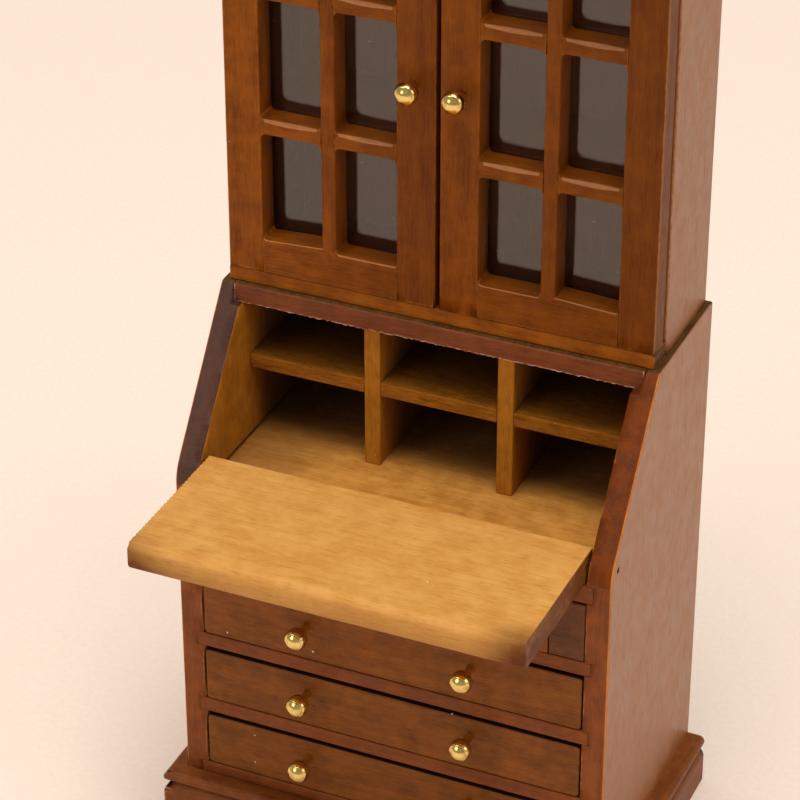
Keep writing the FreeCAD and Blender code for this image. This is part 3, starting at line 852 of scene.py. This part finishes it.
# %% Fall board
TOOTH = 0.55 * MM
FALL_CUTS = 34
low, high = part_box("fall_board")
fall = block("fall_board_leaf", low, high)
ease(fall, 1.5 * MM, lambda p: near(p.y, low.y) and near(p.z, high.z), steps=5)
ease(fall, 1.2 * MM, lambda p: near(p.y, low.y) and near(p.z, low.z), steps=5)
ease(fall, 0.8 * MM, lambda p: near(p.y, high.y) and near(p.z, low.z))
ease(fall, 0.3 * MM, lambda p: near(p.x, high.x) or near(p.x, low.x), steps=2)
cut(fall, 0, even_cuts(low.x, high.x, FALL_CUTS))
cut(fall, 1, [low.y + TOOTH * i for i in range(2, int((high.y - low.y) / TOOTH))])
cut(fall, 2, [low.z + 1.8 * MM, low.z + 3.4 * MM])
random.seed(9)
for vert in fall.data.vertices:
    tooth = round((vert.co.y - low.y) / TOOTH)
    if vert.co.x < low.x + 0.35 * MM and vert.co.z > high.z - 1.2 * MM and tooth % 2:
        vert.co.x += random.uniform(0.05, 0.28) * MM
        vert.co.z -= random.uniform(0.0, 0.08) * MM
wobble(fall, 0.09 * MM, 6 * MM)
smooth(fall)


NOSE_DEPTH, NOSE_REACH = 1.6 * MM, 22 * MM
LEFT_REACH, RIGHT_REACH = 7 * MM, 9 * MM
SKIN = 0.1 * MM


def fall_stain(p):
    """More stain on the nose, the front corners and the two ends of the fall; the nose and the
    underside are darker towards the bottom.
    """
    nose = max(0.0, 1 - (p.y - low.y) / NOSE_DEPTH)
    under = max(0.0, min(1.0, (high.z - p.z) / (high.z - low.z)))
    right = max(0.0, 1 - math.hypot(p.x - high.x, (p.y - low.y) * 1.4) / RIGHT_REACH)
    left = max(0.0, 1 - math.hypot(p.x - low.x, p.y - low.y) / LEFT_REACH)
    end = 0.95 if high.x - p.x < SKIN else 0.55 if p.x - low.x < SKIN else 0.0
    front_left = max(0.0, 1 - (p.x - low.x) / NOSE_REACH)
    nose_share = nose * under * (0.35 + 0.45 * front_left)
    return min(1.0, nose_share + right + left * 0.5 + end + 0.3 * (under > 0.9))


brush_stain_and_shade(fall, fall_stain)
paint(fall, woods["honey"])
place(fall, "fall_board")
print("fall board", len(fall.data.polygons), "faces")

# %% [markdown]
# ## Drawers and lopers
# A drawer's front is a board with rounded corners: first its four corner edges are bevelled, then
# the outline of its face. The box behind it is four boards of bare wood, open on top. A loper is
# the bar that pulls out to hold the fall, and is made like any plain board.

# %% Drawers and lopers
DRAWERS = ("lower", "middle", "upper", "small")
WALL = 2.0 * MM
BOTTOM = 1.5 * MM


def drawer_box(node):
    """Two sides, a back and a bottom of bare wood, open on top, behind the drawer's front."""
    low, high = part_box(node)
    inner_low, inner_high = low.x + WALL, high.x - WALL
    walls = [(low, Vector((inner_low, high.y, high.z))), (Vector((inner_high, low.y, low.z)), high),
             (Vector((inner_low, high.y - WALL, low.z)), Vector((inner_high, high.y, high.z))),
             (Vector((inner_low, low.y, low.z)), Vector((inner_high, high.y - WALL, low.z + BOTTOM)))]
    made = join([board(node, a, b, width=0.2 * MM, cell=6 * MM) for a, b in walls], node + "_board")
    smooth(made)
    paint(made, woods["bare"])
    place(made, node)


for name in DRAWERS:
    node = "drawer_" + name + "_front"
    low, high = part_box(node)
    front = block(node + "_board", low, high)
    ease(front, 0.8 * MM, lambda p: True, steps=4, along=1)
    ease(front, 0.4 * MM, lambda p: near(p.y, low.y))
    grid(front, 2 * MM)
    wobble(front, 0.08 * MM, 5 * MM)
    smooth(front)
    paint(front, woods["drawer_face"])
    paint(front, woods["bare"], lambda c, n: n.y > 0.5)
    # The front's top, bottom and ends take a painted shadow, the dark of the gap round the drawer.
    paint(front, woods["gap_painted_shadow"], lambda c, n: abs(n.z) > 0.8 or abs(n.x) > 0.8)
    place(front, node)
    drawer_box("drawer_" + name + "_box")
for side in ("left", "right"):
    boards("loper_" + side, woods["loper_face"], cell=4 * MM)
print(len(DRAWERS), "drawers made")

# %% [markdown]
# ## The doors
# Each door is a frame of two stiles and two rails, with an upright glazing bar and short crossbars
# butted against it. The corners of the openings are rounded: near its ends each rail and crossbar
# swells in a quarter circle. That is made with a few close cuts whose edge points are moved out by
# the height of the circle there. The crossbars' upper corners are rounded most, since dusting and
# handling wear them first.


# %% Door helpers
FLARE = 0.75 * MM
FLARE_CUTS = (0.0, 0.06, 0.18, 0.36, 0.62)
HAIR = 0.02 * MM
LENS_STEPS = 22
DOOR_REACH = 36 * MM


def swell(piece, ends, edge_z, way):
    """Swell the edge at edge_z towards each opening's corner; ends are (x, direction away from it)."""
    for x, away in ends:
        places = [x + away * FLARE * part for part in FLARE_CUTS + (1.0,)]
        cut(piece, 0, places + [x - away * HAIR])
        for part, at in zip(FLARE_CUTS, places):
            rise = FLARE - math.sqrt(FLARE ** 2 - (FLARE * (1 - part)) ** 2)
            pick_points(piece, lambda p: near(p.x, at, 0.004 * MM) and near(p.z, edge_z))
            bpy.ops.transform.translate(value=(0, 0, way * rise))
    only(piece)


def lens_edge(piece, low_x, high_x, width, test):
    """Round a long edge with a width that is greatest in the middle and nothing at its ends."""
    for step in range(1, LENS_STEPS):
        middle_of = low_x + (high_x - low_x) * (step + 0.5) / LENS_STEPS
        reach = (high_x - low_x) / LENS_STEPS / 2
        pick_edges(piece, lambda p: test(p) and abs(p.x - middle_of) < reach + HAIR, along=0)
        share = math.sin(math.pi * (step + 0.5) / LENS_STEPS)
        bpy.ops.transform.edge_bevelweight(value=share)
    only(piece)
    rounding = piece.modifiers.new("lens", "BEVEL")
    rounding.limit_method = "WEIGHT"
    rounding.width = width
    rounding.segments = 5
    bpy.ops.object.modifier_apply(modifier=rounding.name)


def mirrored(piece, name):
    """A left-hand copy with its own mesh, its faces turned outwards again."""
    only(piece)
    bpy.ops.object.duplicate()
    twin = bpy.context.object
    twin.name = name
    edit(twin)
    bpy.ops.mesh.select_all(action="SELECT")
    bpy.ops.transform.resize(value=(-1, 1, 1), center_override=(0, 0, 0))
    bpy.ops.mesh.normals_make_consistent(inside=False)
    only(twin)
    return twin


def door_painted_shade(p):
    """Painted shade on the doors, more of it from the middle to the right-hand side."""
    across = p.x / DOOR_REACH
    towards_middle = max(0.0, 0.42 * (1 + across)) if p.x < 0 else 0.2
    return towards_middle + max(0.0, 0.26 * across)


def finish_door_piece(piece, node, finish, cell=2.5 * MM):
    """Grid, wobble, smooth and paint one piece of a door, and put it in its place."""
    grid(piece, cell)
    wobble(piece, 0.06 * MM, 5 * MM)
    smooth(piece)
    paint(piece, finish)
    brush_stain_and_shade(piece, door_painted_shade)
    place(piece, node)
    print(node, len(piece.data.polygons), "faces")


# %% [markdown]
# ### Rails and stiles
# The right door is made first. Its rails and stiles are copies of the frame's, because they have the
# rebate for the pane. Each rail swells at the corners of the openings.

# %% Rails and stiles
front_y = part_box("door_right_rails")[0].y
upright_box, *crossbar_boxes = solid_boxes("door_right_glazing_bars")
bottom_rail, top_rail = solid_boxes("door_right_rails")
opening_ends = [(bottom_rail[0].x, 1), (upright_box[0].x, -1),
                (upright_box[1].x, 1), (bottom_rail[1].x, -1)]

rails = copy_of("door_right_rails", "door_right_rails_piece")
swell(rails, opening_ends, bottom_rail[1].z, 1)
swell(rails, opening_ends, top_rail[0].z, -1)
opening = (bottom_rail[1].z - HAIR, top_rail[0].z + HAIR)
ease(rails, 0.3 * MM, lambda p: near(p.y, front_y) and opening[0] < p.z < opening[1])
stiles = {}
for kind in ("hinge", "meeting"):
    stile = copy_of("door_right_" + kind + "_stile", "door_right_" + kind + "_stile_piece")
    inner_x = bottom_rail[1].x if kind == "hinge" else bottom_rail[0].x
    ease(stile, 0.2 * MM, lambda p: near(p.y, front_y) and near(p.x, inner_x), along=2)
    if kind == "hinge":
        outer_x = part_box("door_right_hinge_stile")[1].x
        ease(stile, 0.5 * MM, lambda p: near(p.y, front_y) and near(p.x, outer_x), along=2)
    stiles[kind] = stile
print("rails and", len(stiles), "stiles shaped")

# %% [markdown]
# ### Glazing bars
# A crossbar's long front edges are rounded by a Bevel modifier that reads a weight from each edge.
# The weight swells and fades along the bar, which gives the worn, lens-shaped light on its edge.

# %% Glazing bars
upright = block("upright_bar", *upright_box)
ease(upright, 0.35 * MM, lambda p: near(p.y, front_y), along=2)
bars = [upright]
for bar_low, bar_high in crossbar_boxes:
    bar = block("crossbar", bar_low, bar_high)
    bar_ends = [(bar_low.x, 1), (bar_high.x, -1)]
    swell(bar, bar_ends, bar_high.z, 1)
    swell(bar, bar_ends, bar_low.z, -1)
    cut(bar, 0, even_cuts(bar_low.x, bar_high.x, LENS_STEPS))
    middle_z = (bar_low.z + bar_high.z) / 2
    lens_edge(bar, bar_low.x, bar_high.x, 1.15 * MM, lambda p: near(p.y, front_y) and p.z > middle_z)
    lens_edge(bar, bar_low.x, bar_high.x, 0.6 * MM, lambda p: near(p.y, front_y) and p.z < middle_z)
    bars.append(bar)
bars = join(bars, "door_right_glazing_bars_piece")
print(len(crossbar_boxes), "crossbars made")

# %% [markdown]
# ### Both doors
# The left door mirrors the right one. The copy is made before the grid and the wobble, so that the
# two doors are not twins in every dent. The upper front edges of the rails and crossbars and the
# hinge stile's outer front edge carry a pale painted highlight.

# %% Both doors
DOOR_FINISHES = {
    "rails": (rails, "door_level"), "hinge_stile": (stiles["hinge"], "door_upright"),
    "meeting_stile": (stiles["meeting"], "door_upright"), "glazing_bars": (bars, "door_level"),
}
bar_x = (upright_box[0].x + upright_box[1].x) / 2
EDGE_TURN = 0.35
half_bar = (upright_box[1].x - upright_box[0].x) / 2
for part, (piece, finish) in DOOR_FINISHES.items():
    twin = mirrored(piece, "door_left_" + part + "_piece")
    finish_door_piece(twin, "door_left_" + part, woods[finish])
    finish_door_piece(piece, "door_right_" + part, woods[finish])
    # Pale painted highlight on the faces that turn up and forwards, and on the hinge stile's outer
    # edge.
    for made in (piece, twin):
        if part == "glazing_bars":
            paint(made, woods["door_upright"], lambda c, n: abs(abs(c.x) - bar_x) < half_bar)
            paint(made, woods["door_edge_highlight"], lambda c, n: n.y < FORWARDS and n.z > EDGE_TURN
                  and abs(abs(c.x) - bar_x) > half_bar)
        elif part == "rails":
            paint(made, woods["door_edge_highlight"], lambda c, n: n.y < FORWARDS and n.z > EDGE_TURN)
        elif part == "hinge_stile":
            paint(made, woods["door_edge_highlight"], lambda c, n: n.y < FORWARDS and abs(n.x) > EDGE_TURN
                  and abs(c.x) > outer_x - 1 * MM)

# %% [markdown]
# ## The bookcase's shell
# The shell is two upright sides with the sill strip in front of its bottom. The sides are pale with
# a sheen outside, and dark inside as painted shade. The sill is like the doors, with dark ends: a
# painted shadow where they meet the desk's ledge.

# %% Bookcase sides and sill
for side in ("left", "right"):
    node = "bookcase_side_" + side
    panel = near_board(node, 3 * MM, 0.07 * MM, 7 * MM)
    paint(panel, woods["case_upright"])
    # The inner faces take painted shade.
    paint(panel, woods["case_inside_shade"], lambda c, n: n.x * c.x < 0 and abs(n.x) > 0.6)
    place(panel, node)
sill = near_board("bookcase_sill", 1.5 * MM, 0.05 * MM, 4 * MM)
paint(sill, woods["sill"])
# Painted shadow: the sill's ends and back take the ledge's dark wood.
paint(sill, woods["desk_ledge"], lambda c, n: abs(n.x) > 0.7 or n.y > 0.7)
place(sill, "bookcase_sill")
print("bookcase shell made")

# %% [markdown]
# ## The knobs
# Each knob was turned in a lathe, and spinning an outline is the same act: one point is extruded
# along the outline, tail, stem and ball, and the line is spun round the knob's axis. A groove runs
# round the front of the ball. The doors' knobs stand nearer to the wood than the drawers', so each
# kind is spun once, and every other knob is a copy with its own mesh.


# %% Turn one knob
STEM = 0.8 * MM
TAIL = 1.2 * MM
BALL_STEPS = 22
GROOVE_STEP = 15


def turn_knob(name, root, ball_radius, ball_out):
    """Spin a knob whose stem leaves the wood at root and whose ball stands ball_out in front."""
    outline = [(-TAIL, 0.0), (-TAIL, STEM), (0.0, STEM), (0.4 * MM, 0.92 * STEM)]
    first = math.degrees(math.asin(0.9 * STEM / ball_radius))
    for step in range(BALL_STEPS + 1):
        angle = math.radians(first + (180 - first) * step / BALL_STEPS)
        radius = ball_radius * math.sin(angle)
        out = ball_out - ball_radius * math.cos(angle)
        if step == GROOVE_STEP:
            outline += [(out - 0.1 * MM, radius + 0.06 * MM), (out - 0.05 * MM, radius - 0.1 * MM),
                        (out + 0.05 * MM, radius - 0.1 * MM), (out + 0.1 * MM, radius - 0.07 * MM)]
        else:
            outline.append((out, radius))
    outline[-1] = (outline[-1][0], 0.0)
    points = [root + Vector((radius, -out, 0)) for out, radius in outline]
    bpy.ops.object.select_all(action="DESELECT")
    bpy.ops.mesh.primitive_plane_add(size=MM, location=points[0])
    knob = bpy.context.object
    knob.name = name
    bpy.ops.object.transform_apply(location=True, rotation=True, scale=True)
    bpy.ops.object.mode_set(mode="EDIT")
    bpy.ops.mesh.select_mode(type="VERT")
    bpy.ops.mesh.select_all(action="SELECT")
    bpy.ops.mesh.merge(type="CENTER")
    for before, after in zip(points, points[1:]):
        bpy.ops.mesh.extrude_region_move(TRANSFORM_OT_translate={"value": after - before})
    bpy.ops.mesh.select_all(action="SELECT")
    bpy.ops.mesh.spin(steps=40, angle=math.tau, center=root, axis=(0, 1, 0))
    bpy.ops.mesh.select_all(action="SELECT")
    bpy.ops.mesh.remove_doubles(threshold=0.002 * MM)
    bpy.ops.mesh.normals_make_consistent(inside=False)
    only(knob)
    return knob


def copy_to(piece, name, move):
    """A copy of a piece with its own mesh, moved by its points."""
    twin = put(name, piece.data.copy())
    for vert in twin.data.vertices:
        vert.co += move
    return twin


# %% Copy the knobs to their places
for family in (["door_right", "door_left"], ["drawer_" + name for name in DRAWERS]):
    nodes = [owner + ("_knob" if owner.startswith("door") else "_knobs") for owner in family]
    face_y = front_y if family[0].startswith("door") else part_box(family[0] + "_front")[0].y
    low, high = solid_boxes(nodes[0])[0]
    ball_radius = (high.x - low.x) / 2
    first_root = Vector(((low.x + high.x) / 2, face_y, (low.z + high.z) / 2))
    pattern = turn_knob("knob_pattern", first_root, ball_radius, face_y - low.y - ball_radius)
    for node in nodes:
        copies = []
        for low, high in solid_boxes(node):
            root = Vector(((low.x + high.x) / 2, face_y, (low.z + high.z) / 2))
            copies.append(copy_to(pattern, node + "_turned", root - first_root))
        made = join(copies, node + "_turned")
        smooth(made, 50)
        paint(made, brass)
        place(made, node)
    bpy.data.objects.remove(pattern)
    print(len(nodes), "sets of knobs turned for the", family[0].split("_")[0] + "s")

# %% [markdown]
# ## Pins and panes
# The pins and the clear sheets are already right in the frame: a wire is a wire, and a pane is a
# flat sheet. They keep their own meshes and only get their finish.

# %% Pins and panes
KEPT = {"fall_hinge_pins": wire}
for side in ("left", "right"):
    KEPT["door_" + side + "_pivot_pins"] = wire
    KEPT["door_" + side + "_glass"] = pane
for node, finish in KEPT.items():
    kept = frame["nodes"][node]
    kept.data.materials.clear()
    kept.data.materials.append(finish)
print("kept as they are:", ", ".join(KEPT))

# %% [markdown]
# ## Table and light
# A toy is sold on a plain pale table under soft light. The table is one big plane with a faint
# tooth. The sky is an even, dim, warm white. A large lamp hangs overhead, which leaves the inside of
# the pigeonholes dark, and weaker ones in front and at the right give the brass and the lacquer
# something to reflect.

# %% Table
bpy.ops.object.select_all(action="DESELECT")
bpy.ops.mesh.primitive_plane_add(size=6, location=(0, 0, 0))
table_top = bpy.context.object
table_top.name = "table_top"
material, tree, shader, place_in = new_material("table_paper")
tooth = noise(tree, place_in, 900.0, detail=4.0)
tree.links.new(mix(tree, tooth, tone(244, 226, 212), tone(252, 240, 230)), shader.inputs["Base Color"])
shader.inputs["Roughness"].default_value = 0.9
bump(tree, shader, tooth, 0.2 * MM, 0.5)
table_top.data.materials.append(material)
print("table laid")

# %% Lamps and sky
sky = bpy.data.worlds.new("studio_sky")
bpy.context.scene.world = sky
sky.use_nodes = True
sky.node_tree.nodes["Background"].inputs["Color"].default_value = tone(255, 246, 236)
sky.node_tree.nodes["Background"].inputs["Strength"].default_value = 0.4
LAMPS = {
    "top_lamp": ((0.2, -0.4, 3.0), 1.8, 66.0, (255, 248, 240)),
    "front_lamp": ((-0.4, -0.75, 0.55), 0.35, 1.3, (255, 246, 236)),
    "side_lamp": ((0.75, -0.1, 0.45), 0.4, 0.9, (255, 246, 240)),
}
for name, (spot, size, watts, colour) in LAMPS.items():
    data = bpy.data.lights.new(name, "AREA")
    data.size = size
    data.energy = watts
    data.color = tone(*colour)[:3]
    lamp = put(name, data)
    lamp.location = spot
    lamp.rotation_euler = (Vector((0, 0, 0.09)) - lamp.location).to_track_quat("-Z", "Y").to_euler()
print(len(LAMPS), "lamps")

# %% [markdown]
# ## Size and finish
# Each shown piece was held inside the frame's box when it was placed, and that box is printed here.

# %% Size and finish
print("frame", [round(v / MM, 2) for v in frame_box[1] - frame_box[0]])
